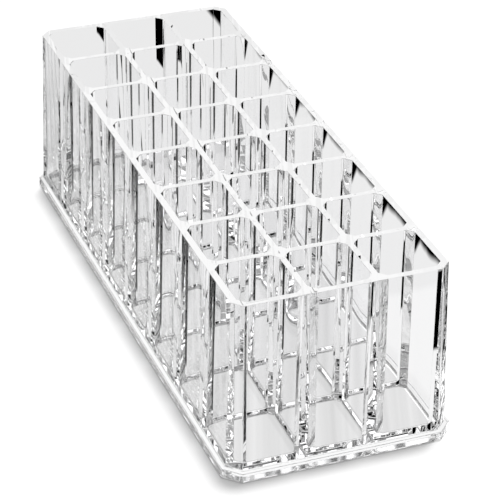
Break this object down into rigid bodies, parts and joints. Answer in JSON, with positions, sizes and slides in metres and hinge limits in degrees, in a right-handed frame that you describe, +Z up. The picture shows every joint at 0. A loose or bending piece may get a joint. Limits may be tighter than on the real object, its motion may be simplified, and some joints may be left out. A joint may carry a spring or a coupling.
{
  "type": "vanity organizer",
  "caption": "Clear rectangular organizer with a grid of deep open cells that keep lip glosses, mascaras and brushes upright.",
  "frame": {"origin": "middle of the footprint, on the surface it stands on", "axes": "+Z up, +Y along the length, +X across the width"},
  "size_m": [0.0896, 0.2434, 0.072],
  "materials": {
    "clear_styrene": "clear, colourless and glossy"
  },
  "bodies": {
    "root": {"base": "clear_styrene", "front_wall": "clear_styrene", "back_wall": "clear_styrene", "left_wall": "clear_styrene", "right_wall": "clear_styrene", "long_divider_1": "clear_styrene", "long_divider_2": "clear_styrene", "cross_divider_1": "clear_styrene", "cross_divider_2": "clear_styrene", "cross_divider_3": "clear_styrene", "cross_divider_4": "clear_styrene", "cross_divider_5": "clear_styrene", "cross_divider_6": "clear_styrene", "cross_divider_7": "clear_styrene"}
  },
  "joints": []
}
